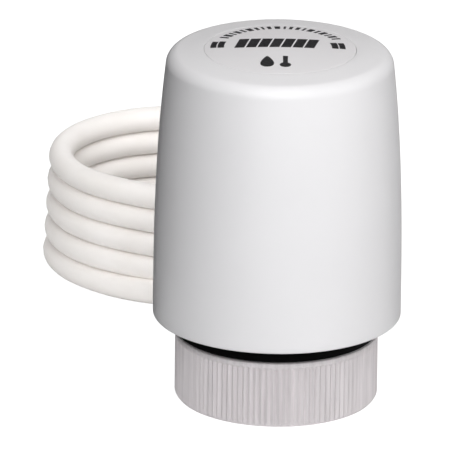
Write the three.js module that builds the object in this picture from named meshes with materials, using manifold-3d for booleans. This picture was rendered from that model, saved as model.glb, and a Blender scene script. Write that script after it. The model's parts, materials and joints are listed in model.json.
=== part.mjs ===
// Electrothermal (wax) actuator head for a heating valve.
// Millimetres, +Z up. The origin is the centre of the ring nut's lower rim, on the floor.
import * as THREE from 'three';
import { mergeVertices } from 'three/addons/utils/BufferGeometryUtils.js';
import Module from 'manifold-3d';

const wasm = await Module();
wasm.setup();

// ---------------------------------------------------------------- driving dimensions
const GAP = 0.3; // clearance left between pieces that touch on the real object
const FINE = 40; // facets round the outer shells
const MEDIUM = 24; // facets round the inner pieces
const COARSE = 16; // facets round the small pieces

const nut = { radius: 18, height: 12, ridges: 108, ridgeDepth: 0.42, chamfer: 0.4 };
nut.core = nut.radius - nut.ridgeDepth - 0.05; // plain radius under the ridges
nut.rimHeight = 0.85; // plain rim above the ridges
nut.rimEdge = 0.3;
nut.threadMinor = 14.2;
nut.threadMajor = 15.0;
nut.threadPitch = 1.5;
nut.lipRadius = 13.2;
nut.lipBottom = 9.4;
nut.relief = { radius: 15.1, bottom: 7.4 };
nut.threadTop = 6.9;

const body = { radius: 22, bottom: 15.3, lip: 0.4, shoulder: 61.55, top: 64.5, taper: 1.85, wall: 2 };
body.taperPower = 2.75; // how late the side curves in
body.fillet = 2.45;
body.roof = 1.7; // thickness under the cap disc

const cap = { radius: 13.2, thickness: 0.8, edge: 0.2, rise: 0.7 };

const seat = { height: 6.5, neckRadius: 12.9, recessRadius: 8.5, recessTop: 19.5 };
const ringGroove = { radius: 11.6, bottom: 8.1, top: 9.2 };
const retainingRing = { inner: 12, outer: 14, bottom: 8.4, thickness: 0.5, opening: 14 };
const plate = { flangeRadius: 17.9, bottom: 12.3, step: 15.5, radius: 19.6, top: 18.8 };
plate.sealGroove = { radius: 18.2, bottom: 16.2, top: 17.7 };
plate.collar = { radius: 10.5, top: 21.3 };
const boss = { radius: 8.2, top: 26, bore: 5.3 };
const snap = { count: 4, noseBottom: 20.7, noseTop: 21.5, noseRadius: 20.35, halfWidth: 2.5 };
snap.arm = [17.4, 19.3];
snap.nose = [18.5, 20.1];
const screw = { pilot: 1.3, thread: 1, point: 0.6, slot: 0.25, slotDepth: 0.6 };
const closingDimension = 11.8;
const stroke = 4;

const plungerTip = seat.height + closingDimension;
const plunger = { radius: 5, top: 26.2, pegRadius: 1.8, pegTop: 28.2, edge: 0.6 };
plunger.sealGroove = { radius: 3.9, bottom: 21.6, top: 23.2 };

const yoke = { halfWidth: 4, legInner: 10, legOuter: 12.6, lower: 26.5, upper: 54.0, sheet: 2 };
yoke.flangeBottom = 38;
yoke.flangeInner = 12;
yoke.flangeOuter = 16.8;
yoke.flangeSheet = 1.5;

const spring = { radius: 15.7, wire: 0.9, turns: 5.5, seatBottom: 60.6 };
spring.bottom = yoke.flangeBottom + yoke.flangeSheet + GAP;
spring.top = spring.seatBottom - GAP;

const frame = { halfWidth: 5, pillar: 13, sheet: 1.6, foot: 17.2, bottom: 19.1, top: 35.6 };
frame.screwX = 15.2;

const stack = { bottom: 35.9, holderRadius: 9.2, holderBore: 6.9, holderTop: 43.5 };
stack.lowerContact = 37.0;
stack.heater = 37.7;
stack.upperContact = 39.8;
stack.contactSheet = 0.4;
stack.tabReach = 11.3;
stack.tabAngle = 45;

const capsule = { bottom: 40.5, radius: 6.5, bore: 5.5, top: 48.3, neckRadius: 3.4, neckTop: 50.8 };
capsule.floor = 41.5;
capsule.wax = { bottom: 41.8, top: 44.7 };
capsule.diaphragm = { bottom: 45.0, top: 45.6 };
capsule.guideBottom = 45.9;
capsule.pistonRadius = 1.5;
capsule.edge = 0.5;

const cable = { radius: 2.25, entryHeight: 24.3, inside: 14, core: 0.95 };
cable.glandEnd = 43.9;
cable.leadStart = 44.2;
cable.leadEnd = 49.5;
const gland = { bore: 2.6, flange: 5, neck: 3.9, collar: 4.9, root: 4, tip: 3.1, clearance: 4.3 };
const coil = { x: -18.3, y: 69, radius: 21.6, turns: 5, tailRadius: 26.5 };
const clamp = { halfLength: 7.6, front: 13.6, back: 16.8, screwX: 6.2, barBottom: 27, barTop: 28.6 };
clamp.pedestalTop = cable.entryHeight - cable.radius - GAP;

const degrees = (angle) => (angle * Math.PI) / 180;

// ---------------------------------------------------------------- shape helpers
// A closed mesh becomes a solid once its shared corners are merged.
function toSolid(geometry) {
	const bare = geometry.clone();
	bare.deleteAttribute('normal');
	bare.deleteAttribute('uv');
	const merged = mergeVertices(bare, 1e-4);
	const corner = merged.index.array;
	const triangles = [];
	for (let i = 0; i < corner.length; i += 3) {
		const [a, b, c] = [corner[i], corner[i + 1], corner[i + 2]];
		if (a !== b && b !== c && c !== a) triangles.push(a, b, c);
	}
	return new wasm.Manifold(
		new wasm.Mesh({
			numProp: 3,
			vertProperties: new Float32Array(merged.attributes.position.array),
			triVerts: new Uint32Array(triangles),
		}),
	);
}

function toGeometry(solid) {
	const mesh = solid.getMesh();
	const geometry = new THREE.BufferGeometry();
	geometry.setAttribute('position', new THREE.BufferAttribute(mesh.vertProperties, 3));
	geometry.setIndex(new THREE.BufferAttribute(mesh.triVerts, 1));
	geometry.computeVertexNormals();
	return geometry;
}

// Turns an outline of [radius, height] corners, listed anticlockwise, round the Y axis.
function turnedAboutY(outline, facets = MEDIUM) {
	const corners = outline.map(([radius, height]) => new THREE.Vector2(radius, height));
	if (outline[0][0] > 0) corners.push(corners[0].clone());
	return new THREE.LatheGeometry(corners, facets);
}

const turned = (outline, facets = MEDIUM) => toSolid(turnedAboutY(outline, facets).rotateX(Math.PI / 2));

const band = (inner, outer, bottom, top, facets = MEDIUM) =>
	turned([[inner, bottom], [outer, bottom], [outer, top], [inner, top]], facets);

const disc = (radius, bottom, top, facets = MEDIUM) =>
	turned([[0, bottom], [radius, bottom], [radius, top], [0, top]], facets);

function block([x0, x1], [y0, y1], [z0, z1]) {
	const geometry = new THREE.BoxGeometry(x1 - x0, y1 - y0, z1 - z0);
	return toSolid(geometry.translate((x0 + x1) / 2, (y0 + y1) / 2, (z0 + z1) / 2));
}

// A round bar that follows a curve.
function swept(curve, radius, steps, sides = 8) {
	const section = new THREE.Shape();
	for (let i = 0; i < sides; i++) {
		const angle = (2 * Math.PI * i) / sides;
		const corner = [radius * Math.cos(angle), radius * Math.sin(angle)];
		if (i === 0) section.moveTo(...corner);
		else section.lineTo(...corner);
	}
	section.closePath();
	return toSolid(new THREE.ExtrudeGeometry(section, { steps, extrudePath: curve, bevelEnabled: false }));
}

const smoothCurve = (points) =>
	new THREE.CatmullRomCurve3(points.map((point) => new THREE.Vector3(...point)), false, 'centripetal');

const joined = (solids) => solids.reduce((whole, solid) => whole.add(solid));

// ---------------------------------------------------------------- outer shells
const sideRadius = (z) =>
	body.radius - body.taper * Math.max(0, (z - body.bottom) / (body.shoulder - body.bottom)) ** body.taperPower;

function sideOutline(from, to, count, inset = 0) {
	return Array.from({ length: count }, (_, i) => {
		const z = from + ((to - from) * i) / (count - 1);
		return [sideRadius(z) - inset, z];
	});
}

// The top face is slightly domed, across the cap disc and the casing round it.
const domeHeight = (radius) => body.top + cap.rise * (1 - (radius / cap.radius) ** 2);

function makeCasing() {
	const lipCentre = [body.radius - body.lip, body.bottom + body.lip];
	const lipArc = [-90, -60, -30].map((angle) => [
		lipCentre[0] + body.lip * Math.cos(degrees(angle)),
		lipCentre[1] + body.lip * Math.sin(degrees(angle)),
	]);
	const shoulderCentre = [sideRadius(body.shoulder) - body.fillet, body.shoulder];
	const shoulderArc = [22, 45, 66, 82].map((angle) => [
		shoulderCentre[0] + body.fillet * Math.cos(degrees(angle)),
		shoulderCentre[1] + body.fillet * Math.sin(degrees(angle)),
	]);
	const pocket = cap.radius + GAP;
	const pocketFloor = body.top - cap.thickness - GAP;
	const ceiling = pocketFloor - body.roof;
	const innerSide = sideOutline(ceiling - 1, snap.noseTop + GAP, 4, body.wall);
	const snapGroove = snap.noseRadius + GAP;
	const inner = body.radius - body.wall;
	const shell = turned([
		[inner, body.bottom],
		...lipArc,
		...sideOutline(body.bottom + body.lip, body.shoulder, 7),
		...shoulderArc,
		[16.4, domeHeight(16.4)],
		[pocket, domeHeight(pocket)],
		[pocket, pocketFloor],
		[0, pocketFloor],
		[0, ceiling],
		[sideRadius(ceiling) - body.wall - 1, ceiling],
		...innerSide,
		[snapGroove, snap.noseTop + GAP],
		[snapGroove, snap.noseBottom - GAP],
		[inner, snap.noseBottom - GAP],
	], FINE);
	const glandHole = toSolid(
		turnedAboutY([[0, 15], [gland.clearance, 15], [gland.clearance, 26], [0, 26]], COARSE).translate(0, 0, cable.entryHeight),
	);
	return shell.subtract(glandHole);
}

function makeCapDisc() {
	const dome = [0.8, 0.6, 0.4, 0.2, 0].map((share) => [cap.radius * share, domeHeight(cap.radius * share)]);
	return turned([
		[0, body.top - cap.thickness],
		[cap.radius, body.top - cap.thickness],
		[cap.radius, body.top - cap.edge],
		[cap.radius - cap.edge, body.top],
		...dome,
	], FINE);
}

function makeBase() {
	const { sealGroove, collar } = plate;
	const turnedPart = turned([
		[seat.recessRadius, seat.height],
		[seat.neckRadius, seat.height],
		[seat.neckRadius, ringGroove.bottom],
		[ringGroove.radius, ringGroove.bottom],
		[ringGroove.radius, ringGroove.top],
		[seat.neckRadius, ringGroove.top],
		[seat.neckRadius, plate.bottom],
		[plate.flangeRadius, plate.bottom],
		[plate.flangeRadius, plate.step],
		[plate.radius, plate.step],
		[plate.radius, sealGroove.bottom],
		[sealGroove.radius, sealGroove.bottom],
		[sealGroove.radius, sealGroove.top],
		[plate.radius, sealGroove.top],
		[plate.radius, plate.top],
		[collar.radius, plate.top],
		[collar.radius, collar.top],
		[boss.radius, collar.top],
		[boss.radius, boss.top],
		[boss.bore, boss.top],
		[boss.bore, seat.recessTop],
		[seat.recessRadius, seat.recessTop],
	], 32);
	const across = [-snap.halfWidth, snap.halfWidth];
	const arm = block(snap.arm, across, [plate.top - GAP, snap.noseTop]);
	const hook = arm.add(block(snap.nose, across, [snap.noseBottom, snap.noseTop]));
	const hooks = Array.from({ length: snap.count }, (_, i) => hook.rotate([0, 0, 45 + (360 / snap.count) * i]));
	const pedestal = block(
		[-clamp.halfLength, clamp.halfLength],
		[clamp.front, clamp.back],
		[plate.top - GAP, clamp.pedestalTop],
	);
	const screwHoles = [-1, 1].flatMap((side) => [
		disc(screw.pilot, 14.2, 20, COARSE).translate([side * frame.screwX, 0, 0]),
		disc(screw.pilot, 15.2, 23, COARSE).translate([side * clamp.screwX, (clamp.front + clamp.back) / 2, 0]),
	]);
	return joined([turnedPart, ...hooks, pedestal]).subtract(joined(screwHoles));
}

function makeRingNut() {
	const { core, relief, threadTop } = nut;
	const threads = 4;
	const grooves = [];
	for (let i = 0; i < threads; i++) {
		const z = threadTop - i * nut.threadPitch;
		grooves.push([nut.threadMinor, z], [nut.threadMajor, z - nut.threadPitch / 2]);
	}
	const turnedPart = turned([
		[nut.threadMajor, 0],
		[core - nut.chamfer, 0],
		[core, nut.chamfer],
		[core, nut.height - nut.rimHeight],
		[nut.radius - 0.1, nut.height - nut.rimHeight],
		[nut.radius - 0.1, nut.height - nut.rimEdge],
		[nut.radius - 0.1 - nut.rimEdge, nut.height],
		[nut.lipRadius, nut.height],
		[nut.lipRadius, nut.lipBottom],
		[relief.radius, nut.lipBottom],
		[relief.radius, relief.bottom],
		...grooves,
		[nut.threadMinor, threadTop - nut.threadPitch * threads],
	], 36);
	const star = new THREE.Shape();
	for (let i = 0; i < nut.ridges * 2; i++) {
		const angle = (Math.PI * i) / nut.ridges;
		const radius = i % 2 ? nut.radius - nut.ridgeDepth : nut.radius;
		if (i === 0) star.moveTo(radius, 0);
		else star.lineTo(radius * Math.cos(angle), radius * Math.sin(angle));
	}
	star.closePath();
	const hole = new THREE.Path();
	hole.absarc(0, 0, core - 1, 0, 2 * Math.PI, true);
	star.holes.push(hole);
	const ridgeHeight = nut.height - nut.rimHeight - nut.chamfer + 0.1;
	const ridges = new THREE.ExtrudeGeometry(star, { depth: ridgeHeight, bevelEnabled: false, curveSegments: 24 });
	return turnedPart.add(toSolid(ridges.translate(0, 0, nut.chamfer)));
}

function makeRetainingRing() {
	const { inner, outer, bottom, thickness } = retainingRing;
	const opening = degrees(retainingRing.opening);
	const ring = new THREE.Shape();
	ring.absarc(0, 0, outer, opening, 2 * Math.PI - opening, false);
	ring.absarc(0, 0, inner, 2 * Math.PI - opening, opening, true);
	ring.closePath();
	const geometry = new THREE.ExtrudeGeometry(ring, { depth: thickness, bevelEnabled: false, curveSegments: 20 });
	return toSolid(geometry.rotateZ(-Math.PI / 2).translate(0, 0, bottom));
}

// ---------------------------------------------------------------- moving pieces
function makePlunger() {
	const { radius, edge, sealGroove } = plunger;
	return turned([
		[0, plungerTip],
		[radius - edge, plungerTip],
		[radius, plungerTip + edge],
		[radius, sealGroove.bottom],
		[sealGroove.radius, sealGroove.bottom],
		[sealGroove.radius, sealGroove.top],
		[radius, sealGroove.top],
		[radius, plunger.top],
		[plunger.pegRadius, plunger.top],
		[plunger.pegRadius, plunger.pegTop],
		[0, plunger.pegTop],
	], MEDIUM);
}

function makeYoke() {
	const across = [-yoke.halfWidth, yoke.halfWidth];
	const legs = [-1, 1].map((side) =>
		block(
			across,
			[side * yoke.legInner, side * yoke.legOuter].sort((a, b) => a - b),
			[yoke.lower, yoke.upper],
		),
	);
	const reach = [-yoke.legOuter, yoke.legOuter];
	const crossPlates = [yoke.lower, yoke.upper - yoke.sheet].map((z) => block(across, reach, [z, z + yoke.sheet]));
	const flangeTop = yoke.flangeBottom + yoke.flangeSheet;
	const flange = band(yoke.flangeInner, yoke.flangeOuter, yoke.flangeBottom, flangeTop, 40);
	const pegHole = disc(plunger.pegRadius + GAP, yoke.lower - 1, yoke.lower + yoke.sheet + 1, COARSE);
	return joined([...legs, ...crossPlates, flange]).subtract(pegHole);
}

const makePiston = () =>
	turned([
		[0, capsule.guideBottom],
		[capsule.pistonRadius, capsule.guideBottom],
		[capsule.pistonRadius, yoke.upper - yoke.sheet - GAP - 0.4],
		[capsule.pistonRadius - 0.4, yoke.upper - yoke.sheet - GAP],
		[0, yoke.upper - yoke.sheet - GAP],
	], COARSE);

function makeSpring() {
	const steps = Math.round(spring.turns * 12);
	const low = spring.bottom + spring.wire;
	const high = spring.top - spring.wire;
	const points = Array.from({ length: steps + 1 }, (_, i) => {
		const share = i / steps;
		const angle = 2 * Math.PI * spring.turns * share;
		return [spring.radius * Math.cos(angle), spring.radius * Math.sin(angle), low + (high - low) * share];
	});
	return swept(smoothCurve(points), spring.wire - 0.05, steps);
}

// ---------------------------------------------------------------- frame and heater stack
function makeBridgeFrame() {
	const across = [-frame.halfWidth, frame.halfWidth];
	const bar = block([-frame.pillar, frame.pillar], across, [frame.top - frame.sheet, frame.top]);
	const sides = [-1, 1].flatMap((side) => {
		const span = (a, b) => [side * a, side * b].sort((p, q) => p - q);
		return [
			block(span(frame.pillar - frame.sheet, frame.pillar), across, [frame.bottom, frame.top]),
			block(span(frame.pillar - frame.sheet, frame.foot), across, [frame.bottom, frame.bottom + frame.sheet]),
		];
	});
	const holes = [-1, 1].map((side) =>
		disc(screw.pilot, frame.bottom - 1, frame.bottom + 3, COARSE).translate([side * frame.screwX, 0, 0]),
	);
	return joined([bar, ...sides]).subtract(joined(holes));
}

function makeHolder() {
	const floor = disc(stack.holderRadius, stack.bottom, stack.bottom + 0.8);
	const wall = band(stack.holderBore, stack.holderRadius, stack.bottom + 0.5, stack.holderTop);
	const slots = [stack.tabAngle, 180 - stack.tabAngle].map((angle) =>
		block([5, 12], [-2.2, 2.2], [stack.bottom + 0.8, stack.holderTop + 1]).rotate([0, 0, angle]),
	);
	return floor.add(wall).subtract(joined(slots));
}

function makeContact(bottom, angle) {
	const top = bottom + stack.contactSheet;
	return disc(6.4, bottom, top).add(block([4, stack.tabReach], [-1.6, 1.6], [bottom, top]).rotate([0, 0, angle]));
}

const makeCapsuleCup = () =>
	turned([
		[0, capsule.bottom],
		[capsule.radius - capsule.edge, capsule.bottom],
		[capsule.radius, capsule.bottom + capsule.edge],
		[capsule.radius, capsule.top],
		[capsule.bore, capsule.top],
		[capsule.bore, capsule.floor],
		[0, capsule.floor],
	]);

const makeCapsuleGuide = () =>
	turned([
		[capsule.pistonRadius + GAP, capsule.guideBottom],
		[capsule.bore - GAP, capsule.guideBottom],
		[capsule.bore - GAP, capsule.top],
		[capsule.neckRadius, capsule.top],
		[capsule.neckRadius, capsule.neckTop],
		[capsule.pistonRadius + GAP, capsule.neckTop],
	]);

function makeScrew(headBottom, headRadius, headHeight, shankBottom) {
	const top = headBottom + headHeight;
	const solid = turned([
		[0, shankBottom],
		[screw.point, shankBottom],
		[screw.thread, shankBottom + 0.8],
		[screw.thread, headBottom],
		[headRadius, headBottom],
		[headRadius, top - headHeight * 0.4],
		[headRadius - 0.5, top],
		[0, top],
	], COARSE);
	const reach = headRadius + 1;
	return solid.subtract(block([-reach, reach], [-screw.slot, screw.slot], [top - screw.slotDepth, top + 1]));
}

// ---------------------------------------------------------------- cable
function makeClamp() {
	const legInner = cable.radius + 2 * GAP;
	const depth = [clamp.front, clamp.back];
	const bar = block([-clamp.halfLength, clamp.halfLength], depth, [clamp.barBottom, clamp.barTop]);
	const middle = (clamp.front + clamp.back) / 2;
	const sides = [-1, 1].map((side) =>
		block(
			[side * legInner, side * clamp.halfLength].sort((a, b) => a - b),
			depth,
			[clamp.pedestalTop + GAP, clamp.barTop],
		),
	);
	const holes = [-1, 1].map((side) => disc(screw.pilot, 20, 30, COARSE).translate([side * clamp.screwX, middle, 0]));
	return joined([bar, ...sides]).subtract(joined(holes));
}

const alongY = (outline, facets) => toSolid(turnedAboutY(outline, facets).translate(0, 0, cable.entryHeight));

const makeGland = () =>
	alongY([
		[gland.bore, 17.2],
		[gland.flange, 17.2],
		[gland.flange, 18.9],
		[gland.neck, 18.9],
		[gland.neck, 22.4],
		[gland.collar, 22.4],
		[gland.collar, 23.7],
		[gland.root, 23.9],
		[gland.tip, cable.glandEnd - 0.4],
		[gland.bore, cable.glandEnd],
	], MEDIUM);

const cableStretch = (start, end) =>
	alongY([[0, start], [cable.radius, start], [cable.radius, end], [0, end]], 12);

function makeCoil() {
	const inner = coil.radius - cable.radius;
	const outer = coil.radius + cable.radius;
	const top = coil.turns * 2 * cable.radius;
	const round = cable.radius * 0.6;
	return turned([
		[inner, round],
		[inner + round, 0],
		[outer - round, 0],
		[outer, round],
		[outer, top - round],
		[outer - round, top],
		[inner + round, top],
		[inner, top - round],
	], FINE).translate([coil.x, coil.y, 0]);
}

const roundCoil = (radius, angle, height) => [
	coil.x + radius * Math.cos(degrees(angle)),
	coil.y + radius * Math.sin(degrees(angle)),
	height,
];

const tailEnd = 75; // degrees round the coil where the sheath is cut
function makeTail() {
	const points = [];
	for (let angle = -20; angle <= tailEnd; angle += 5) points.push(roundCoil(coil.tailRadius, angle, cable.radius));
	return swept(smoothCurve(points), cable.radius, 14, 10);
}

// Each stripped core fans out a little from the cut sheath and ends in a crimped ferrule.
const coreEnds = [
	{ name: 'brown', start: coil.tailRadius - 1.1, end: coil.tailRadius - 0.7 },
	{ name: 'blue', start: coil.tailRadius + 1.1, end: coil.tailRadius + 2.4 },
];
const coreEndAngle = 122;
const ferruleRadius = 1.3;

function coreEndPoint(core, share) {
	const settled = Math.min(1, share * 1.6);
	return roundCoil(
		core.start + (core.end - core.start) * share,
		tailEnd + 0.8 + (coreEndAngle - tailEnd - 0.8) * share,
		cable.radius + (ferruleRadius + 0.1 - cable.radius) * settled,
	);
}

function makeCoreEnd(core) {
	const points = Array.from({ length: 9 }, (_, i) => coreEndPoint(core, i / 8));
	return swept(smoothCurve(points), cable.core, 10);
}

function placeFerrule(mesh, core) {
	const before = new THREE.Vector3(...coreEndPoint(core, 0.97));
	const tip = new THREE.Vector3(...coreEndPoint(core, 1));
	const heading = tip.clone().sub(before).setZ(0).normalize();
	mesh.position.copy(tip).addScaledVector(heading, GAP);
	mesh.rotation.set(0, 0, Math.atan2(heading.y, heading.x) - Math.PI / 2);
	return mesh;
}

const makeFerrule = () =>
	toSolid(turnedAboutY([
		[0, 0],
		[ferruleRadius, 0],
		[ferruleRadius, 2.2],
		[0.7, 3],
		[0.7, 8],
		[0, 8],
	], COARSE));

// Inside the casing each core leaves the sheath and climbs beside the yoke to its contact tab.
function makeInnerCore(side, top) {
	const tab = (stack.tabReach - 0.6) * Math.cos(degrees(stack.tabAngle));
	const points = [
		[side * 1.25, cable.inside - GAP, cable.entryHeight],
		[side * 1.25, cable.inside - 2 * GAP, cable.entryHeight],
		[side * 2.4, 12.4, cable.entryHeight - 0.1],
		[side * 5.4, 10.6, cable.entryHeight - 0.1],
		[side * (tab - 0.2), tab + 0.7, 26.4],
		[side * tab, tab, 29.5],
		[side * tab, tab, top],
	];
	return swept(smoothCurve(points), cable.core, 22);
}

// ---------------------------------------------------------------- materials
const finish = (color, roughness, metalness = 0) =>
	new THREE.MeshStandardMaterial({ color, roughness, metalness });

const whitePlastic = finish(0xebebea, 0.35);
const capFilm = finish(0xdededc, 0.3);
const blackPlastic = finish(0x0b0a0b, 0.5);
const nutPlastic = finish(0xc6c2c3, 0.45);
const innerPlastic = finish(0xb9b4a6, 0.5);
const sealRubber = finish(0x1b1b1c, 0.8);
const steel = finish(0xb4b6b8, 0.35, 1);
const springSteel = finish(0x8d9094, 0.3, 1);
const brass = finish(0xc9a35a, 0.35, 1);
const ceramic = finish(0x4a4a4e, 0.7);
const wax = finish(0xd8c9a0, 0.6);
const sheath = finish(0xefeeea, 0.5);
const brownCore = finish(0x6a3f22, 0.45);
const blueCore = finish(0x2a56b0, 0.45);
const tin = finish(0xc9cacc, 0.25, 1);

function piece(name, solid, material) {
	const mesh = new THREE.Mesh(toGeometry(solid), material);
	mesh.name = name;
	return mesh;
}

function group(...members) {
	const whole = new THREE.Group();
	whole.add(...members);
	return whole;
}

// ---------------------------------------------------------------- assembly
const shells = group(
	piece('casing', makeCasing(), whitePlastic),
	piece('cap_disc', makeCapDisc(), capFilm),
	piece('base', makeBase(), blackPlastic),
	piece('casing_seal', band(18.5, 19.7, 16.5, 17.4, FINE), sealRubber),
	piece('nut_retaining_ring', makeRetainingRing(), springSteel),
	piece('ring_nut', makeRingNut(), nutPlastic),
);

const lifter = group(
	piece('plunger', makePlunger(), innerPlastic),
	piece('plunger_seal', band(4.2, 5.1, 21.9, 22.9), sealRubber),
	piece('yoke', makeYoke(), innerPlastic),
);

const drive = group(
	piece('main_spring', makeSpring(), springSteel),
	piece('spring_seat', band(14.2, 17.3, spring.seatBottom, spring.seatBottom + 0.5), steel),
	piece('bridge_frame', makeBridgeFrame(), steel),
	piece('heater_holder', makeHolder(), innerPlastic),
	piece('lower_contact', makeContact(stack.lowerContact, 180 - stack.tabAngle), brass),
	piece('ptc_heater', disc(6, stack.heater, stack.heater + 1.8), ceramic),
	piece('upper_contact', makeContact(stack.upperContact, stack.tabAngle), brass),
	piece('capsule_cup', makeCapsuleCup(), brass),
	piece('wax_charge', disc(capsule.bore - GAP, capsule.wax.bottom, capsule.wax.top), wax),
	piece(
		'capsule_diaphragm',
		disc(capsule.bore - GAP, capsule.diaphragm.bottom, capsule.diaphragm.top),
		sealRubber,
	),
	piece('capsule_guide', makeCapsuleGuide(), brass),
	piece('wax_piston', makePiston(), steel),
);

const screws = new THREE.Group();
for (const [hand, side] of [['left', -1], ['right', 1]]) {
	const frameScrew = piece(`frame_screw_${hand}`, makeScrew(21, 1.9, 1.4, 15), steel);
	frameScrew.position.x = side * frame.screwX;
	const clampScrew = piece(`clamp_screw_${hand}`, makeScrew(clamp.barTop + GAP, 1.7, 1.2, 16), steel);
	clampScrew.position.set(side * clamp.screwX, (clamp.front + clamp.back) / 2, 0);
	screws.add(frameScrew, clampScrew);
}

const lead = group(
	piece('cable_clamp', makeClamp(), innerPlastic),
	piece('core_brown_inner', makeInnerCore(-1, stack.lowerContact - GAP), brownCore),
	piece('core_blue_inner', makeInnerCore(1, stack.upperContact - GAP), blueCore),
	piece('cable_gland', makeGland(), sheath),
	piece('cable_entry', cableStretch(cable.inside, cable.glandEnd), sheath),
	piece('cable_lead', cableStretch(cable.leadStart, cable.leadEnd), sheath),
	piece('cable_coil', makeCoil(), sheath),
	piece('cable_tail', makeTail(), sheath),
	...coreEnds.map((core) =>
		piece(`core_${core.name}_end`, makeCoreEnd(core), core.name === 'brown' ? brownCore : blueCore),
	),
	...coreEnds.map((core) => placeFerrule(piece(`ferrule_${core.name}`, makeFerrule(), tin), core)),
);

const actuator = group(shells, lifter, drive, screws, lead);

export default actuator;
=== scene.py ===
"""Looks of a wax-element actuator head for a heating valve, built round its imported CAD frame.

Lengths in the tables and outlines below are millimetres; MM turns them into metres.
"""

import json
import math

import bmesh
import bpy
from mathutils import Matrix, Vector


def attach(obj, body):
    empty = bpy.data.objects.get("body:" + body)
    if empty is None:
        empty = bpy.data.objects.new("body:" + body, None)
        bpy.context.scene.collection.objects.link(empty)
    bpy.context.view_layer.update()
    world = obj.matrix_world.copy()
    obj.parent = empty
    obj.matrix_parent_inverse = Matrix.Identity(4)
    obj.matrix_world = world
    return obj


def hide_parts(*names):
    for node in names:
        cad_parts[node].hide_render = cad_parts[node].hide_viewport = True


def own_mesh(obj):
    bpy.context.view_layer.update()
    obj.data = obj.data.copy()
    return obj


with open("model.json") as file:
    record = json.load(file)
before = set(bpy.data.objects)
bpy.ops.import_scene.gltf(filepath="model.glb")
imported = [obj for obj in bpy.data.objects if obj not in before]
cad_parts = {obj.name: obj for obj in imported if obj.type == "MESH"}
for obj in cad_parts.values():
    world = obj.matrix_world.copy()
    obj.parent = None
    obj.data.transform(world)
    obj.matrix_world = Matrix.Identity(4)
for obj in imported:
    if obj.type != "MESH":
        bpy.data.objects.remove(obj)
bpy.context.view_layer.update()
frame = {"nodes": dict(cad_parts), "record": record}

MM = 0.001
SCENE = bpy.context.scene
AXIS_Z = Matrix.Identity(3)
# Turns an outline's height axis from Z to +Y without mirroring it, for the cable's way out.
AXIS_Y = Matrix(((1, 0, 0), (0, 0, 1), (0, -1, 0)))


def smooth_step(share):
    share = min(1.0, max(0.0, share))
    return share * share * (3 - 2 * share)


def mix(a, b, share):
    return a + (b - a) * share


# ---------------------------------------------------------------- camera
ELEVATION = math.radians(19.54)
CAMERA_DISTANCE = 2140
CAMERA_ROLL = math.radians(0.68)
CAMERA_TARGET = Vector((-9.18, 0, 31.36))
CAMERA_LENS = 963.6


def make_camera():
    data = bpy.data.cameras.new("camera")
    data.sensor_width = 36
    data.lens = CAMERA_LENS
    data.clip_start = 0.1
    data.clip_end = 20
    camera = bpy.data.objects.new("camera", data)
    SCENE.collection.objects.link(camera)
    back = Vector((0, -math.cos(ELEVATION), math.sin(ELEVATION)))
    camera.location = (CAMERA_TARGET + back * CAMERA_DISTANCE) * MM
    facing = back.to_track_quat("Z", "Y").to_matrix()
    roll = Matrix.Rotation(CAMERA_ROLL, 3, "Z")
    camera.rotation_euler = (facing @ roll).to_euler()
    SCENE.camera = camera


make_camera()

# ---------------------------------------------------------------- cable route
CABLE_RADIUS = 2.25
CABLE_PITCH = 2 * CABLE_RADIUS
CABLE_INSIDE = 14.5
CABLE_EXIT = Vector((0, 44, 24.3))
COIL_CENTRE = (-18.3, 69)
COIL_RADIUS = 21.6
COIL_TURNS = 5
COIL_LEAN = 0.24  # how far each turn lies to the right of the one under it
JOIN_INSET = 3.3  # the lead comes in over the coil this far inside its turns
JOIN_RISE = 2.0  # and this far above the top turn
TAIL_RADIUS = 26.5
TAIL_END = 75  # degrees round the coil where the sheath is cut
CORE_END = 122  # and where the stripped cores end
CORE_RADIUS = 0.95
CORE_REST = 1.4  # height of a core's middle at its ferrule, just off the floor
DROP_START = 232  # each turn drops on to the next between these angles
DROP_END = 370
LEAVE_START = 215  # the last turn swings out to the tail between these angles
LEAVE_END = 335
MERGE_END = 110  # the lead has joined the top turn here
TOP_HEIGHT = CABLE_RADIUS + CABLE_PITCH * (COIL_TURNS - 1)


def round_coil(radius, degrees, height, lean=0.0):
    angle = math.radians(degrees)
    x = COIL_CENTRE[0] + lean + radius * math.cos(angle)
    return Vector((x, COIL_CENTRE[1] + radius * math.sin(angle), height))


def coil_point(degrees):
    """The cable's centre, degrees after the start of the top turn."""
    dropped = 0.0
    for turn in range(COIL_TURNS - 1):
        start = DROP_START + 360 * turn
        dropped += smooth_step((degrees - start) / (DROP_END - DROP_START))
    leave = 360 * (COIL_TURNS - 1) + LEAVE_START
    out = smooth_step((degrees - leave) / (LEAVE_END - LEAVE_START))
    joining = 1 - smooth_step(degrees / MERGE_END)
    radius = COIL_RADIUS + (TAIL_RADIUS - COIL_RADIUS) * out - JOIN_INSET * joining
    height = TOP_HEIGHT - CABLE_PITCH * dropped + JOIN_RISE * joining**2
    lean = COIL_LEAN * ((COIL_TURNS - 1) / 2 - dropped)
    return round_coil(radius, degrees, height, lean)


def cable_route():
    route = [Vector((0, y, CABLE_EXIT.z)) for y in (CABLE_INSIDE, 24, 34, 44, 47, 50)]
    route += [Vector(point) for point in ((0, 53, 24.28), (0.02, 56, 24.15), (0.08, 59, 23.9))]
    route += [Vector(point) for point in ((0.18, 62, 23.5), (0.3, 65, 23.0), (0.39, 68, 22.5))]
    last = 360 * COIL_TURNS + TAIL_END
    step = 5
    route += [coil_point(degrees) for degrees in range(step, last + 1, step)]
    return route


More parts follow.
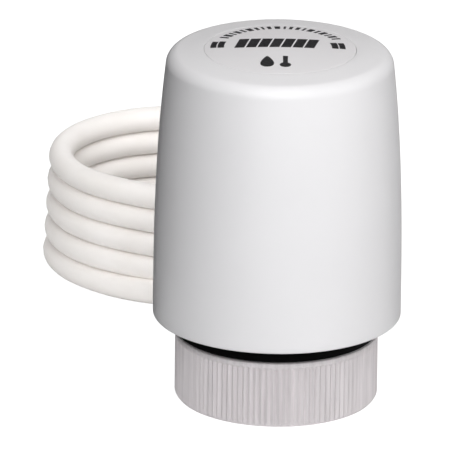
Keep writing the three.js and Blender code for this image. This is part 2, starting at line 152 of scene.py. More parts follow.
def curve_piece(name, points, radius, sides=6):
    curve = bpy.data.curves.new(name, "CURVE")
    curve.dimensions = "3D"
    curve.bevel_depth = radius * MM
    curve.bevel_resolution = sides
    curve.use_fill_caps = True
    spline = curve.splines.new("POLY")
    spline.points.add(len(points) - 1)
    for target, point in zip(spline.points, points):
        target.co = (*(point * MM), 1)
    spline.use_smooth = True
    piece = bpy.data.objects.new(name, curve)
    SCENE.collection.objects.link(piece)
    return piece


# ---------------------------------------------------------------- mesh helpers
SHARP = math.radians(32)


def mesh_piece(name, points, faces, sharp=SHARP):
    """A mesh object from points in millimetres, smooth except where faces meet at a sharp angle."""
    bm = bmesh.new()
    made = [bm.verts.new(Vector(point) * MM) for point in points]
    for face in faces:
        bm.faces.new([made[i] for i in face])
    bmesh.ops.remove_doubles(bm, verts=bm.verts, dist=1e-7)
    bmesh.ops.recalc_face_normals(bm, faces=bm.faces)
    return bm_piece(name, bm, sharp)


def bm_piece(name, bm, sharp=SHARP):
    for face in bm.faces:
        face.smooth = True
    for edge in bm.edges:
        edge.smooth = edge.is_manifold and edge.calc_face_angle(0) < sharp
    mesh = bpy.data.meshes.new(name)
    bm.to_mesh(mesh)
    bm.free()
    piece = bpy.data.objects.new(name, mesh)
    SCENE.collection.objects.link(piece)
    return piece


def rounded(corners, steps=5):
    """An outline whose corners (radius, height, fillet) become arcs where fillet is given."""
    points = []
    count = len(corners)
    for i, corner in enumerate(corners):
        here = Vector(corner[:2])
        fillet = corner[2] if len(corner) > 2 else 0
        if not fillet:
            points.append(here)
            continue
        before = (Vector(corners[i - 1][:2]) - here).normalized()
        after = (Vector(corners[(i + 1) % count][:2]) - here).normalized()
        half = before.angle(after) / 2
        reach = fillet / math.tan(half)
        middle = here + (before + after).normalized() * (fillet / math.sin(half))
        start = here + before * reach - middle
        end = here + after * reach - middle
        turn = start.angle_signed(end)
        for step in range(steps + 1):
            swing = Matrix.Rotation(-turn * step / steps, 2)
            points.append(middle + swing @ start)
    return [tuple(point) for point in points]


def turned(name, outline, facets=160, axis=AXIS_Z, centre=(0, 0, 0), sharp=SHARP):
    """An outline of (radius, height) turned round an axis, closed up unless it starts on the axis."""
    closed = outline[0][0] > 1e-6
    points, faces, rings = [], [], []
    for radius, height in outline:
        if radius < 1e-6:
            rings.append([len(points)] * facets)
            points.append(axis @ Vector((0, 0, height)) + Vector(centre))
            continue
        rings.append(list(range(len(points), len(points) + facets)))
        for k in range(facets):
            angle = 2 * math.pi * k / facets
            spot = Vector((radius * math.cos(angle), radius * math.sin(angle), height))
            points.append(axis @ spot + Vector(centre))
    pairs = list(zip(rings, rings[1:]))
    if closed:
        pairs.append((rings[-1], rings[0]))
    for low, high in pairs:
        join_rings(faces, low, high)
    return mesh_piece(name, points, faces, sharp)


def join_rings(faces, low, high):
    """Joins two rings of points. One may have three times as many as the other, or be a single point."""
    if len(low) < len(high):
        low, high = high, low
    ratio = len(low) // len(high)
    count = len(high)
    for k in range(count):
        after = (k + 1) % count
        if ratio == 1:
            face = [low[k], low[after], high[after], high[k]]
            faces.append(list(dict.fromkeys(face)))
            continue
        a, b, c, d = (low[(3 * k + i) % len(low)] for i in range(4))
        faces += [[a, b, high[k]], [b, c, high[after], high[k]], [c, d, high[after]]]


def cut(piece, *cutters):
    """Cuts each cutter out of the piece and removes it."""
    for cutter in cutters:
        modifier = piece.modifiers.new("cut", "BOOLEAN")
        modifier.object = cutter
        modifier.operation = "DIFFERENCE"
        modifier.solver = "EXACT"
    graph = bpy.context.evaluated_depsgraph_get()
    mesh = bpy.data.meshes.new_from_object(piece.evaluated_get(graph))
    piece.modifiers.clear()
    piece.data = mesh
    for cutter in cutters:
        bpy.data.objects.remove(cutter)
    sharpen(piece)


def sharpen(piece):
    bm = bmesh.new()
    bm.from_mesh(piece.data)
    for face in bm.faces:
        face.smooth = True
    for edge in bm.edges:
        edge.smooth = edge.is_manifold and edge.calc_face_angle(0) < SHARP
    bm.to_mesh(piece.data)
    bm.free()


def bar_block(name, low, high, bevel=0.0, turn=0.0):
    """A box between two corners, with rounded edges, turned about Z by some degrees."""
    bm = bmesh.new()
    bmesh.ops.create_cube(bm, size=1)
    low, high = Vector(low), Vector(high)
    size = high - low
    bmesh.ops.scale(bm, vec=size, verts=bm.verts)
    bmesh.ops.translate(bm, vec=(low + high) / 2, verts=bm.verts)
    if bevel:
        bmesh.ops.bevel(bm, geom=bm.edges, offset=bevel, segments=3, affect="EDGES")
    bmesh.ops.rotate(bm, matrix=Matrix.Rotation(math.radians(turn), 3, "Z"), verts=bm.verts)
    bmesh.ops.scale(bm, vec=(MM, MM, MM), verts=bm.verts)
    return bm_piece(name, bm)


def merge(piece, *others):
    """Joins other mesh objects into a piece."""
    bm = bmesh.new()
    bm.from_mesh(piece.data)
    for other in others:
        bm.from_mesh(other.data)
        bpy.data.objects.remove(other)
    bm.to_mesh(piece.data)
    bm.free()
    return piece


# ---------------------------------------------------------------- materials
class Recipe:
    """A node material under construction, with short names for the nodes used here."""

    def __init__(self, name):
        self.material = bpy.data.materials.new(name)
        self.material.use_nodes = True
        self.tree = self.material.node_tree
        self.shader = self.tree.nodes["Principled BSDF"]
        self.place = self.tree.nodes.new("ShaderNodeTexCoord").outputs["Object"]

    def node(self, kind, **inputs):
        made = self.tree.nodes.new(kind)
        for key, value in inputs.items():
            made.inputs[key.replace("_", " ")].default_value = value
        return made

    def link(self, source, target):
        self.tree.links.new(source, target)

    def stretched(self, scale):
        """The object's own coordinates, scaled along each axis."""
        mapping = self.node("ShaderNodeMapping", Scale=scale)
        self.link(self.place, mapping.inputs["Vector"])
        return mapping.outputs["Vector"]

    def noise(self, scale, detail=3.0, roughness=0.5, where=None):
        made = self.node("ShaderNodeTexNoise", Scale=scale, Detail=detail, Roughness=roughness)
        self.link(where or self.place, made.inputs["Vector"])
        return made.outputs["Fac"]

    def ramp(self, source, stops):
        made = self.tree.nodes.new("ShaderNodeValToRGB")
        elements = made.color_ramp.elements
        while len(elements) < len(stops):
            elements.new(0.5)
        for element, (place, color) in zip(elements, stops):
            element.position = place
            element.color = (*color, 1) if len(color) == 3 else color
        self.link(source, made.inputs["Fac"])
        return made.outputs["Color"]

    def spread(self, source, low, high):
        made = self.node("ShaderNodeMapRange", To_Min=low, To_Max=high, From_Min=0.3, From_Max=0.7)
        self.link(source, made.inputs["Value"])
        return made.outputs["Result"]

    def bump(self, source, strength, distance, under=None):
        made = self.node("ShaderNodeBump", Strength=strength, Distance=distance)
        self.link(source, made.inputs["Height"])
        if under is not None:
            self.link(under, made.inputs["Normal"])
        return made.outputs["Normal"]

    def set(self, **sockets):
        for key, value in sockets.items():
            socket = self.shader.inputs[key.replace("_", " ")]
            if isinstance(value, bpy.types.NodeSocket):
                self.link(value, socket)
            else:
                socket.default_value = value


def shade(color, factor):
    return tuple(min(1.0, channel * factor) for channel in color)


def moulded(name, color, roughness, grain=2600, grain_depth=0.000012, blotch=0.03, **extra):
    """Moulded plastic: cloudy colour, uneven gloss, and a fine skin texture."""
    recipe = Recipe(name)
    clouds = recipe.noise(55, 4, 0.55)
    stops = [(0.3, shade(color, 1 - blotch)), (0.7, shade(color, 1 + blotch))]
    recipe.set(Base_Color=recipe.ramp(clouds, stops))
    recipe.set(Roughness=recipe.spread(recipe.noise(420, 4, 0.6), roughness - 0.05, roughness + 0.06))
    fine = recipe.bump(recipe.noise(grain, 2, 0.6), 0.35, grain_depth)
    recipe.set(Normal=recipe.bump(recipe.noise(150, 2, 0.4), 0.25, grain_depth * 2, fine), **extra)
    return recipe.material


def metal(name, color, roughness, streaks=(900, 900, 60)):
    """Drawn or stamped metal with fine streaks and handling marks."""
    recipe = Recipe(name)
    lines = recipe.noise(1, 5, 0.65, recipe.stretched(streaks))
    patches = recipe.noise(130, 4, 0.6)
    recipe.set(Base_Color=recipe.ramp(patches, [(0.3, shade(color, 0.86)), (0.72, shade(color, 1.08))]))
    recipe.set(Roughness=recipe.spread(lines, roughness - 0.1, roughness + 0.12))
    recipe.set(Normal=recipe.bump(lines, 0.3, 0.00002), Metallic=1.0)
    return recipe.material


def rubber_material():
    recipe = Recipe("seal_rubber")
    bloom = recipe.noise(260, 5, 0.6)
    recipe.set(Base_Color=recipe.ramp(bloom, [(0.35, (0.012, 0.012, 0.013)), (0.75, (0.03, 0.03, 0.032))]))
    recipe.set(Roughness=recipe.spread(bloom, 0.6, 0.85))
    recipe.set(Normal=recipe.bump(recipe.noise(1800, 3, 0.6), 0.4, 0.00003))
    return recipe.material


def nut_material():
    """Satin grey plastic with drag lines along the ribs."""
    recipe = Recipe("grey_nut")
    drag = recipe.noise(1, 4, 0.6, recipe.stretched((1300, 1300, 45)))
    color = (0.72, 0.675, 0.684)
    recipe.set(Base_Color=recipe.ramp(drag, [(0.3, shade(color, 0.87)), (0.7, shade(color, 1.1))]))
    recipe.set(Roughness=recipe.spread(drag, 0.34, 0.5))
    recipe.set(Normal=recipe.bump(recipe.noise(900, 3, 0.55), 0.3, 0.00002))
    return recipe.material


def sheath_material():
    """Soft white cable sheath: warm, slightly dull, with scuffs and a faint wobble from extrusion."""
    recipe = Recipe("white_sheath")
    clouds = recipe.noise(90, 4, 0.6)
    stops = [(0.3, (0.87, 0.832, 0.80)), (0.7, (0.92, 0.885, 0.86))]
    recipe.set(Base_Color=recipe.ramp(clouds, stops))
    recipe.set(Roughness=recipe.spread(recipe.noise(500, 4, 0.6), 0.38, 0.55))
    wobble = recipe.bump(recipe.noise(140, 2, 0.4), 0.3, 0.00006)
    recipe.set(Normal=recipe.bump(recipe.noise(2400, 2, 0.5), 0.25, 0.000015, wobble))
    recipe.set(Specular_IOR_Level=0.4)
    return recipe.material


def wax_material():
    recipe = Recipe("wax")
    clouds = recipe.noise(300, 5, 0.6)
    recipe.set(Base_Color=recipe.ramp(clouds, [(0.3, (0.66, 0.54, 0.32)), (0.7, (0.76, 0.66, 0.44))]))
    recipe.set(Roughness=recipe.spread(clouds, 0.35, 0.6), Normal=recipe.bump(clouds, 0.4, 0.00005))
    recipe.set(Subsurface_Weight=0.2, Subsurface_Scale=0.001)
    return recipe.material


def ceramic_material():
    recipe = Recipe("heater_ceramic")
    specks = recipe.noise(3000, 2, 0.8)
    recipe.set(Base_Color=recipe.ramp(specks, [(0.4, (0.05, 0.05, 0.055)), (0.65, (0.11, 0.11, 0.115))]))
    recipe.set(Roughness=recipe.spread(specks, 0.55, 0.8), Normal=recipe.bump(specks, 0.3, 0.00002))
    return recipe.material


def ink_material():
    recipe = Recipe("print_ink")
    pinholes = recipe.noise(2600, 3, 0.6)
    stops = [(0.2, (0.045, 0.043, 0.045)), (0.6, (0.015, 0.014, 0.016))]
    recipe.set(Base_Color=recipe.ramp(pinholes, stops))
    recipe.set(Roughness=recipe.spread(pinholes, 0.4, 0.55))
    return recipe.material


BLACK = (0.0022, 0.0022, 0.0022)
MATERIALS = {
    "white_casing": moulded("white_casing", (0.84, 0.823, 0.832), 0.36, blotch=0.008),
    "cap_film": moulded("cap_film", (0.82, 0.797, 0.806), 0.4, grain=1800, blotch=0.01),
    "black_base": moulded("black_base", BLACK, 0.55, blotch=0.15, Specular_IOR_Level=0.03),
    "grey_nut": nut_material(),
    "inner_plastic": moulded("inner_plastic", (0.48, 0.44, 0.36), 0.5),
    "seal_rubber": rubber_material(),
    "steel": metal("steel", (0.56, 0.57, 0.58), 0.36),
    "spring_steel": metal("spring_steel", (0.34, 0.35, 0.37), 0.32, (300, 300, 300)),
    "brass": metal("brass", (0.66, 0.47, 0.19), 0.3),
    "heater_ceramic": ceramic_material(),
    "wax": wax_material(),
    "white_sheath": sheath_material(),
    "brown_core": moulded("brown_core", (0.16, 0.06, 0.025), 0.4),
    "blue_core": moulded("blue_core", (0.02, 0.10, 0.42), 0.4),
    "tin": metal("tin", (0.66, 0.66, 0.68), 0.25),
}
INK = ink_material()


def finish_piece(piece, slot, body, *nodes, material=None):
    """Gives a new piece its material, the one for its record slot unless another is given, attaches it to
    its body and hides the CAD nodes that it stands for.
    """
    piece.data.materials.clear()
    piece.data.materials.append(material or MATERIALS[slot])
    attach(piece, body)
    if nodes:
        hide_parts(*nodes)
    return piece


# ---------------------------------------------------------------- casing and its top mark
BODY_RADIUS = 22
BODY_BOTTOM = 15.3
BODY_LIP = 0.4
BODY_SHOULDER = 61.55
BODY_TOP = 64.5
BODY_WALL = 2
SIDE_TAPER = 1.85  # how much narrower the casing is at its shoulder
TAPER_POWER = 2.75  # how late the side curves in
SHOULDER_FILLET = 2.45
SHOULDER_TURN = 82  # degrees of the shoulder's arc
CAP_RADIUS = 13.4
CAP_RISE = 0.7
CAP_THICKNESS = 0.8
CAP_EDGE = 0.07
POCKET_RADIUS = CAP_RADIUS + 0.05
POCKET_FLOOR = BODY_TOP - 1.1
ROOF = 1.7  # thickness under the cap's pocket
SEAL_BORE = 20  # the casing's inner radius where the base's seal meets it
SNAP_GROOVE = {"depth": 0.65, "top": 21.8, "bottom": 20.4}
GLAND_HOLE = (4.3, 15, 26)  # radius, and where it starts and ends along Y


def side_radius(z):
    share = max(0.0, (z - BODY_BOTTOM) / (BODY_SHOULDER - BODY_BOTTOM))
    return BODY_RADIUS - SIDE_TAPER * share**TAPER_POWER


def dome(radius):
    """Height of the slightly domed top face."""
    return BODY_TOP + CAP_RISE * (1 - (radius / CAP_RADIUS) ** 2)


def casing_outside():
    """From the lip up the side and over the shoulder to the edge of the cap's pocket."""
    outline = []
    side_start = BODY_BOTTOM + BODY_LIP
    for step in range(6):
        angle = math.radians(-90 + 90 * step / 6)
        lip_x = BODY_RADIUS - BODY_LIP + BODY_LIP * math.cos(angle)
        outline.append((lip_x, side_start + BODY_LIP * math.sin(angle)))
    for step in range(31):
        z = mix(side_start, BODY_SHOULDER, step / 30)
        outline.append((side_radius(z), z))
    centre = side_radius(BODY_SHOULDER) - SHOULDER_FILLET
    for step in range(1, 13):
        angle = math.radians(SHOULDER_TURN * step / 12)
        rise = SHOULDER_FILLET * math.sin(angle)
        outline.append((centre + SHOULDER_FILLET * math.cos(angle), BODY_SHOULDER + rise))
    start = outline[-1][0]
    for step in range(1, 6):
        radius = mix(start, POCKET_RADIUS, step / 6)
        outline.append((radius, dome(radius)))
    pocket = [(POCKET_RADIUS, dome(POCKET_RADIUS), CAP_EDGE)]
    pocket += [(POCKET_RADIUS, POCKET_FLOOR), (0, POCKET_FLOOR)]
    return rounded(outline + pocket)


def casing_inside():
    """From the middle of the ceiling out and down to the lip."""
    ceiling = POCKET_FLOOR - ROOF
    corner = 0.8
    outline = [(0, ceiling), (side_radius(ceiling) - BODY_WALL - corner, ceiling)]
    for step in range(9):
        z = mix(ceiling - corner, 22, step / 8)
        outline.append((side_radius(z) - BODY_WALL, z))
    groove = BODY_RADIUS - BODY_WALL + SNAP_GROOVE["depth"]
    outline += [(groove, SNAP_GROOVE["top"]), (groove, SNAP_GROOVE["bottom"])]
    outline += [(SEAL_BORE, SNAP_GROOVE["bottom"] - 0.2), (SEAL_BORE, BODY_BOTTOM + 0.2)]
    return outline + [(SEAL_BORE + 0.2, BODY_BOTTOM)]


def make_casing():
    outside = casing_outside()
    shell = turned_open("casing_shell", outside + casing_inside(), len(outside))
    radius, near, far = GLAND_HOLE
    outline = [(0, near), (radius, near), (radius, far), (0, far)]
    hole = turned("gland_hole", outline, 48, AXIS_Y, (0, 0, CABLE_EXIT.z))
    cut(shell, hole)
    return finish_piece(shell, "white_casing", "head", "casing")


def turned_open(name, outline, split):
    """A turned shell whose outline touches the axis twice in the middle, at split - 1 and split."""
    facets = 192
    points, faces, rings = [], [], []
    for radius, height in outline:
        if radius < 1e-6:
            rings.append([len(points)] * facets)
            points.append((0, 0, height))
            continue
        rings.append(list(range(len(points), len(points) + facets)))
        for k in range(facets):
            angle = 2 * math.pi * k / facets
            points.append((radius * math.cos(angle), radius * math.sin(angle), height))
    for i in range(len(rings)):
        if i != split - 1:
            join_rings(faces, rings[i], rings[(i + 1) % len(rings)])
    return mesh_piece(name, points, faces)


def make_cap():
    base = BODY_TOP - CAP_THICKNESS
    edge = [(CAP_RADIUS, base), (CAP_RADIUS, BODY_TOP, CAP_EDGE)]
    outline = rounded([(0, base), *edge, (0, BODY_TOP)])[:-1]
    for step in range(1, 13):
        radius = CAP_RADIUS * (1 - step / 12)
        outline.append((radius, dome(radius)))
    return finish_piece(turned("cap_insert", outline, 192), "cap_film", "head", "cap_disc")


# The print's underside and top, measured from the cap's dome.
FILM_LIFTS = (-0.04, 0.045)


def film(name, outlines):
    """Thin printed marks that follow the domed cap, from outlines of (x, y) points."""
    points, faces = [], []
    for outline in outlines:
        first, count = len(points), len(outline)
        for lift in FILM_LIFTS:
            points += [(x, y, dome(math.hypot(x, y)) + lift) for x, y in outline]
        faces.append([first + i for i in reversed(range(count))])
        faces.append([first + count + i for i in range(count)])
        for i in range(count):
            after = (i + 1) % count
            faces.append([first + i, first + after, first + count + after, first + count + i])
    return mesh_piece(name, points, faces)


def arc_mark(inner, outer, start, end):
    steps = max(2, round(abs(end - start) / 2))
    angles = [math.radians(mix(start, end, i / steps)) for i in range(steps + 1)]
    rim = [(outer * math.cos(a), outer * math.sin(a)) for a in angles]
    return rim + [(inner * math.cos(a), inner * math.sin(a)) for a in reversed(angles)]


def slanted_block(x, y, width, height):
    slant = 0.2 * height
    return [(x, y), (x + width, y), (x + width + slant, y + height), (x + slant, y + height)]


def drop_mark(centre, width, height):
    outline = []
    for i in range(24):
        a = 2 * math.pi * i / 24
        across = math.sin(a) * (1 - 0.55 * math.cos(a)) / 1.15
        outline.append((centre[0] + width / 2 * across, centre[1] + height / 2 * math.cos(a)))
    return outline


def thermometer_mark(centre, width, height):
    """A round bulb with a straight stem above it."""
    bulb = width / 2
    stem = width * 0.22
    foot = centre[1] - height / 2 + bulb
    turn = [math.radians(115 + 310 * i / 20) for i in range(21)]
    outline = [(centre[0] + bulb * math.cos(a), foot + bulb * math.sin(a)) for a in turn]
    top = centre[1] + height / 2
    return outline + [(centre[0] + stem, top), (centre[0] - stem, top)]


def dash_scale(dashes, start, sweep):
    """A ring of dashes, given in degrees, evenly spaced over a sweep."""
    gap = (sweep - sum(dashes)) / (len(dashes) - 1)
    angle = start
    outlines = []
    for length in dashes:
        outlines.append(arc_mark(10.3, 12.0, angle, angle + length))
        angle += length + gap
    return outlines


def make_marks():
    """A plain scale of dashes round the cap, a row of blocks, and two plain pictograms."""
    outlines = []
    for start, inner in ((-2, 9.1), (164, 9.9)):
        outlines.append(arc_mark(inner, inner + 1.15, start, start + 18))
        outlines.append(arc_mark(inner + 1.35, inner + 2.4, start + 1, start + 17))
    dashes = (2.5, 4, 2, 4.5, 2.5, 5, 2, 3.5, 3, 2, 5, 3.5, 2, 3, 5, 2.5, 4, 2, 4.5, 2.5)
    outlines += dash_scale(dashes, 27.0, 126)
    outlines += [slanted_block(-8.1 + 2.05 * i, -0.9, 1.75, 4.7) for i in range(7)]
    outlines.append(drop_mark((-2.3, -8.0), 2.5, 4.8))
    outlines.append(thermometer_mark((0.9, -8.0), 2.0, 5.0))
    return finish_piece(film("cap_marks", outlines), "cap_film", "head", material=INK)


# ---------------------------------------------------------------- ring nut
NUT_RADIUS = 18.0
NUT_HEIGHT = 12.0
NUT_RIDGES = 108
RIDGE_SAMPLES = 4
RIDGE_DEPTH = 0.45
NUT_CORE = NUT_RADIUS - RIDGE_DEPTH
THREAD_MINOR = 14.2
THREAD_DEPTH = 0.8
THREAD_PITCH = 1.5
THREAD_TOP = 7.35
THREAD_END = 7.3  # the groove has faded out here, and at the bottom edge
THREAD_RUNOUT = 0.5
FLARE_HEIGHT = 0.8  # the bore widens below this
FLARE_SLOPE = 0.9


def ridge_shape(share):
    """Height of a rounded ridge across its pitch, from 0 in the valley to 1 on the crest."""
    return (0.5 - 0.5 * math.cos(2 * math.pi * share)) ** 0.7


def nut_outer_rings():
    """(height, base radius, ridge depth) from the bottom edge up to the plain rim."""
    core = NUT_CORE
    rings = [(0.0, core - 0.3, 0.0), (0.08, core - 0.14, 0.0), (0.3, core, 0.1), (0.6, core, 0.32)]
    rings += [(height, core, RIDGE_DEPTH) for height in (0.9, 3.5, 6.0, 8.5, 10.8)]
    rings += [(11.05, core + 0.12, 0.3), (11.15, core + 0.36, 0.05), (11.25, core + 0.43, 0.0)]
    rings += [(11.75, core + 0.43, 0.0), (11.92, core + 0.36, 0.0), (NUT_HEIGHT, core + 0.18, 0.0)]
    return rings


def make_nut():
    """Ridges outside; inside, a lip over the snap ring, a relief and a helical thread."""
    fine = NUT_RIDGES * RIDGE_SAMPLES
    coarse = fine // 3
    points, rings = [], []

    def add_ring(count, radius_at, height):
        rings.append(list(range(len(points), len(points) + count)))
        for k in range(count):
            angle = 2 * math.pi * k / count
            radius = radius_at(k, angle)
            points.append((radius * math.cos(angle), radius * math.sin(angle), height))

    for height, base, depth in nut_outer_rings():
        add_ring(fine, lambda k, _, b=base, d=depth: b + d * ridge_shape(k / RIDGE_SAMPLES), height)
    lip_and_relief = [(13.4, NUT_HEIGHT), (13.2, 11.8), (13.2, 9.55), (13.35, 9.4)]
    lip_and_relief += [(15.1, 9.4), (15.1, 7.5)]
    for radius, height in lip_and_relief:
        add_ring(coarse, lambda k, _, r=radius: r, height)

    def thread(height):
        fade = min(1.0, max(0.0, min(height, THREAD_END - height) / THREAD_RUNOUT))

        def radius(_, angle):
            phase = (height / THREAD_PITCH - angle / (2 * math.pi)) % 1
            groove = min(1.0, 1.15 * (1 - abs(2 * phase - 1)))  # a V with a flat floor
            flare = max(0.0, FLARE_HEIGHT - height) * FLARE_SLOPE
            return THREAD_MINOR + max(THREAD_DEPTH * groove * fade, flare)

        return radius

    steps = 42
    for step in range(steps + 1):
        height = mix(THREAD_TOP, 0.0, step / steps)
        add_ring(coarse, thread(height), height)
    faces = []
    for i, ring in enumerate(rings):
        join_rings(faces, ring, rings[(i + 1) % len(rings)])
    nut = mesh_piece("nut_knurled", points, faces, math.radians(50))
    return finish_piece(nut, "grey_nut", "nut", "ring_nut")


# ---------------------------------------------------------------- base
def make_base():
    """A turned body from the seat face up to the guide boss, with hooks, ribs and a pedestal on it."""
    outline = rounded([
        (8.5, 6.5, 0.2), (12.9, 6.5, 0.3), (12.9, 8.1), (11.6, 8.1), (11.6, 9.2), (12.9, 9.2),
        (12.9, 12.3, 0.3), (17.9, 12.3, 0.12), (17.9, 15.5), (19.7, 15.5, 0.2), (19.7, 16.2),
        (18.2, 16.2), (18.2, 17.7), (19.7, 17.7), (19.7, 18.8, 0.2), (10.5, 18.8, 0.2),
        (10.5, 21.3, 0.4), (8.2, 21.3, 0.3),
        (8.2, 26, 0.4), (5.3, 26, 0.3), (5.3, 19.5, 0.2), (8.5, 19.5, 0.3),
    ], 3)
    base = turned("base_body", outline, 160)
    extras = []
    for i in range(4):
        turn = 45 + 90 * i
        extras.append(bar_block("hook", (17.4, -2.5, 18.4), (19.3, 2.5, 21.5), 0.2, turn))
        extras.append(bar_block("nose", (18.5, -2.4, 20.7), (20.1, 2.4, 21.5), 0.2, turn))
    for i in range(12):
        extras.append(bar_block("rib", (8.3, -0.4, 19.0), (5.6, 0.4, 19.9), 0.12, 30 * i))
    extras.append(bar_block("pedestal", (-7.6, 13.6, 18.4), (7.6, 16.8, 21.75), 0.25))
    merge(base, *extras)
    return finish_piece(base, "black_base", "head", "base")


# ---------------------------------------------------------------- plunger and spring
def make_plunger():
    """A rod with a groove for its seal and a thin stem on top."""
    outline = rounded([
        (0, 18.3), (5, 18.3, 0.6), (5, 21.6, 0.1), (3.9, 21.6), (3.9, 23.2), (5, 23.2, 0.1),
        (5, 26.2, 0.3), (1.8, 26.2, 0.2), (1.8, 28.2, 0.3), (0, 28.2),
    ])
    return finish_piece(turned("plunger_rod", outline, 96), "inner_plastic", "lifter", "plunger")


SPRING_RADIUS = 15.7
SPRING_WIRE = 0.88  # radius of the wire
SPRING_TOP = 60.3
SPRING_LENGTH = 20.5
SPRING_END = 0.9  # from the wire's middle to the spring's end
SPRING_TURNS = 6.5
FLAT_TURNS = 0.375  # turns that stay level at each end


def spring_height(turn):
    """Height of the wire's middle, level at both ends and steepest halfway."""
    open_share = min(1.0, max(0.0, (turn - FLAT_TURNS) / (SPRING_TURNS - 2 * FLAT_TURNS)))
    share = 0.35 * smooth_step(open_share) + 0.65 * open_share
    return mix(SPRING_TOP - SPRING_LENGTH + SPRING_END, SPRING_TOP - SPRING_END, share)


def make_spring():
    """A compression spring with level ends, as a mesh tube."""
    steps, sides = 300, 12
    points, faces = [], []
    for step in range(steps + 1):
        turn = SPRING_TURNS * step / steps
        angle = 2 * math.pi * turn
        outward = Vector((math.cos(angle), math.sin(angle), 0))
        for k in range(sides):
            a = 2 * math.pi * k / sides
            across = outward * (SPRING_RADIUS + SPRING_WIRE * math.cos(a))
            points.append(across + Vector((0, 0, spring_height(turn) + SPRING_WIRE * math.sin(a))))
    for step in range(steps):
        for k in range(sides):
            a, b = step * sides + k, step * sides + (k + 1) % sides
            faces.append([a, b, b + sides, a + sides])
    faces.append(list(reversed(range(sides))))
    faces.append([steps * sides + k for k in range(sides)])
    spring = mesh_piece("return_spring", points, faces)
    finish_piece(spring, "spring_steel", "head", "main_spring")
    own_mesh(spring)
    return spring


# ---------------------------------------------------------------- cable
def make_gland():
    """A flange inside the casing, a collar outside it, and a ribbed sleeve that tapers to the cable."""
    bore, ribs, pitch = 2.32, 7, 2.55
    corners = [(bore, 17.2, 0.1), (5, 17.2, 0.3), (5, 18.9, 0.2), (3.9, 18.9)]
    corners += [(3.9, 22.1), (4.95, 22.1, 0.4), (4.95, 23.7, 0.5)]
    for rib in range(ribs):
        start = 24.4 + pitch * rib
        outer = mix(4.0, 3.15, (start - 23.9) / 20)
        corners += [(outer - 0.55, start - 0.2, 0.15), (outer - 0.55, start + 0.45, 0.15)]
        corners += [(outer, start + 0.65, 0.2), (outer, start + 2.2, 0.2)]
    corners += [(3.05, 43.9, 0.4), (bore, 43.9, 0.1)]
    gland = turned("strain_relief", rounded(corners, 3), 64, AXIS_Y, (0, 0, CABLE_EXIT.z))
    return finish_piece(gland, "white_sheath", "head", "cable_gland")


def core_end_point(start, end, share):
    settled = min(1.0, share * 1.6)
    angle = mix(TAIL_END, CORE_END, share)
    height = mix(CABLE_RADIUS, CORE_REST, settled)
    return round_coil(mix(start, end, share), angle, height, -COIL_LEAN * (COIL_TURNS - 1) / 2)


def make_core_end(name, start, end, slot):
    """A stripped core and its crimped ferrule."""
    points = [core_end_point(start, end, i / 30) for i in range(31)]
    core = curve_piece(f"{name}_core", points, CORE_RADIUS, 4)
    finish_piece(core, slot, "head", f"core_{name}_end")
    tip = points[-1]
    heading = (tip - points[-2]).normalized()
    heading.z = 0
    heading.normalize()
    across = Vector((heading.y, -heading.x, 0))
    axis = Matrix((across, Vector((0, 0, 1)), heading)).transposed()
    outline = rounded([
        (0, -0.6), (1.05, -0.6, 0.1), (1.28, 0.4, 0.2), (1.28, 2.3, 0.25), (0.78, 3.0, 0.2),
        (0.78, 4.4, 0.1), (0.7, 4.7, 0.1), (0.78, 5.0, 0.1), (0.7, 5.8, 0.1), (0.78, 6.1, 0.1),
        (0.76, 8.1, 0.15), (0, 8.1),
    ], 3)
    ferrule = turned(f"{name}_ferrule", outline, 40, axis, tip)
    finish_piece(ferrule, "tin", "head", f"ferrule_{name}")
    return [core, ferrule]


def make_cable():
    route = cable_route()
    cable = curve_piece("lead", route, CABLE_RADIUS, 7)
    finish_piece(cable, "white_sheath", "head", "cable_entry", "cable_lead", "cable_coil", "cable_tail")
    gland = make_gland()
    ends = make_core_end("brown", TAIL_RADIUS - 1.1, TAIL_RADIUS - 0.7, "brown_core")
    ends += make_core_end("blue", TAIL_RADIUS + 1.1, TAIL_RADIUS + 2.4, "blue_core")


# ---------------------------------------------------------------- carried-over CAD nodes
def dress_cad_nodes():
    """Every CAD piece that still shows gets its procedural material and slightly broken edges."""
    slots = {row["node"]: row["material_slot"] for row in frame["record"]["subparts"]}
    for name, node in frame["nodes"].items():
        if node.hide_render:
            continue
        node.data.materials.clear()
        node.data.materials.append(MATERIALS[slots[name]])
        bevel = node.modifiers.new("broken_edges", "BEVEL")
        bevel.width = 0.00012
        bevel.segments = 2
        bevel.limit_method = "ANGLE"
        bevel.angle_limit = math.radians(40)


# ---------------------------------------------------------------- stage and light
def make_sheet(name, height):
    """A square table top, in metres, for the floor and the card that bounces light off it."""
    reach = 4.0
    mesh = bpy.data.meshes.new(name)
    corners = [(x * reach, y * reach, height) for x, y in ((-1, -1), (1, -1), (1, 1), (-1, 1))]
    mesh.from_pydata(corners, [], [(0, 1, 2, 3)])
    sheet = bpy.data.objects.new(name, mesh)
    SCENE.collection.objects.link(sheet)
    sheet.visible_shadow = False
    return sheet


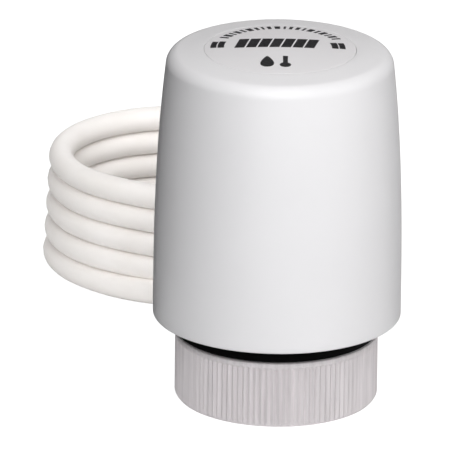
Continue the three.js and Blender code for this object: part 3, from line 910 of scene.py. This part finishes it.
def make_floor():
    """The pale floor that is seen, and under it the card that lights the object from below."""
    floor = make_sheet("floor", -0.00005)
    floor.visible_diffuse = False
    floor.visible_glossy = False
    recipe = Recipe("pale_floor")
    recipe.set(Base_Color=(0.35, 0.35, 0.35, 1), Roughness=0.9, Specular_IOR_Level=0.0)
    recipe.set(Emission_Color=(1, 1, 1, 1), Emission_Strength=0.97)
    # Seen from below the floor is clear, so the underside can be looked at.
    clear = recipe.node("ShaderNodeBsdfTransparent")
    either = recipe.node("ShaderNodeMixShader")
    side = recipe.node("ShaderNodeNewGeometry")
    recipe.link(side.outputs["Backfacing"], either.inputs["Fac"])
    recipe.link(recipe.shader.outputs["BSDF"], either.inputs[1])
    recipe.link(clear.outputs["BSDF"], either.inputs[2])
    recipe.link(either.outputs["Shader"], recipe.tree.nodes["Material Output"].inputs["Surface"])
    floor.data.materials.append(recipe.material)

    card = make_sheet("bounce_card", -0.0003)
    card.visible_camera = False
    paper = Recipe("bounce_paper")
    paper.set(Base_Color=(0.85, 0.85, 0.85, 1), Roughness=0.9, Specular_IOR_Level=0.0)
    card.data.materials.append(paper.material)


LIGHT_CENTRE = Vector((0, 0, 0.03))


def make_light(name, azimuth, elevation, distance, size, power, color=(1, 1, 1)):
    """A disc that faces the object. Angles are in degrees, distance and size in metres."""
    data = bpy.data.lights.new(name, "AREA")
    data.shape = "DISK"
    data.size = size
    data.energy = power
    data.color = color
    light = bpy.data.objects.new(name, data)
    a, e = math.radians(azimuth), math.radians(elevation)
    back = Vector((math.sin(a) * math.cos(e), -math.cos(a) * math.cos(e), math.sin(e)))
    light.location = back * distance + LIGHT_CENTRE
    light.rotation_euler = back.to_track_quat("Z", "Y").to_euler()
    SCENE.collection.objects.link(light)
    return light


def make_flag(name, start, end, height, grey=0.01, low=0):
    """A card that stands beside the object. It is not seen itself and throws no shadow."""
    mesh = bpy.data.meshes.new(name)
    corners = [(*start, low), (*end, low), (*end, height), (*start, height)]
    mesh.from_pydata([Vector(corner) * MM for corner in corners], [], [(0, 1, 2, 3)])
    flag = bpy.data.objects.new(name, mesh)
    SCENE.collection.objects.link(flag)
    recipe = Recipe(name)
    recipe.set(Base_Color=(grey, grey, grey, 1), Roughness=1.0, Specular_IOR_Level=0.0)
    mesh.materials.append(recipe.material)
    flag.visible_camera = False
    flag.visible_shadow = False
    return flag


def light_only(names, *lights):
    """Makes some lights reach only the named pieces."""
    lit = bpy.data.collections.new(f"lit_{names[0]}")
    for name in names:
        lit.objects.link(bpy.data.objects[name])
    for light in lights:
        light.light_linking.receiver_collection = lit


def make_cards():
    """Dark cards beside and behind the object."""
    # This one takes some of the bounced light away from the left side.
    make_flag("left_flag", (-78, -160), (-78, 60), 130)
    # These show in reflections only, and darken the silhouette's edges.
    for name, start, end, low, high, grey in (
        ("left_edge_card", (-14, 27), (-70, 27), 0, 90, 0.01),
        ("right_edge_card", (18, 27), (70, 27), 0, 90, 0.3),
        ("nut_card", (-36, -40), (-27, 18), 0, 11, 0.01),
        ("back_card", (-160, 160), (160, 160), 66, 230, 0.01),
    ):
        card = make_flag(name, start, end, high, grey, low)
        card.visible_diffuse = False


def make_world():
    world = bpy.data.worlds.new("studio")
    world.use_nodes = True
    background = world.node_tree.nodes["Background"]
    background.inputs["Color"].default_value = (1, 1, 1, 1)
    background.inputs["Strength"].default_value = 0.08
    SCENE.world = world


def make_lights():
    far = 1.5
    make_light("key", -4, 28, far, 1.4, 14.8, (0.985, 1.005, 1.015))
    make_light("front_top", 0, 65, far, 0.9, 2.0)
    top_near = make_light("top_near", 0, 62, 0.22, 0.12, 0.085)
    light_only(("casing_shell", "cap_insert", "cap_marks"), top_near)
    make_light("right_box", 68, 28, far, 1.6, 5.9)
    make_light("overhead", 190, 76, far, 0.8, 2.2)
    make_light("back_fill", 165, 22, far, 1.6, 8.0)
    light_only(
        ("lead", "strain_relief", "brown_core", "blue_core", "brown_ferrule", "blue_ferrule"),
        make_light("cable_front", -15, 14, far, 1.2, 9.4),
        make_light("cable_top", 10, 55, far, 1.4, 7.6),
        make_light("cable_left", -80, 20, far, 1.4, 7.4),
    )
    # From under the floor, for looks into the nut.
    light_only(("nut_knurled", "plunger_rod"), make_light("under_nut", 0, -80, 0.5, 0.5, 1.2))
    # The black base needs far more light, from so near that the nut keeps it off the base's sides.
    under_base = make_light("under_base", 0, -90, 0.055, 0.006, 0.14)
    under_base.visible_camera = False
    light_only(("base_body",), under_base)


make_casing()
make_cap()
make_marks()
make_nut()
make_base()
make_plunger()
make_spring()
make_cable()
dress_cad_nodes()
make_floor()
make_cards()
make_world()
make_lights()
SCENE.view_settings.view_transform = "Standard"
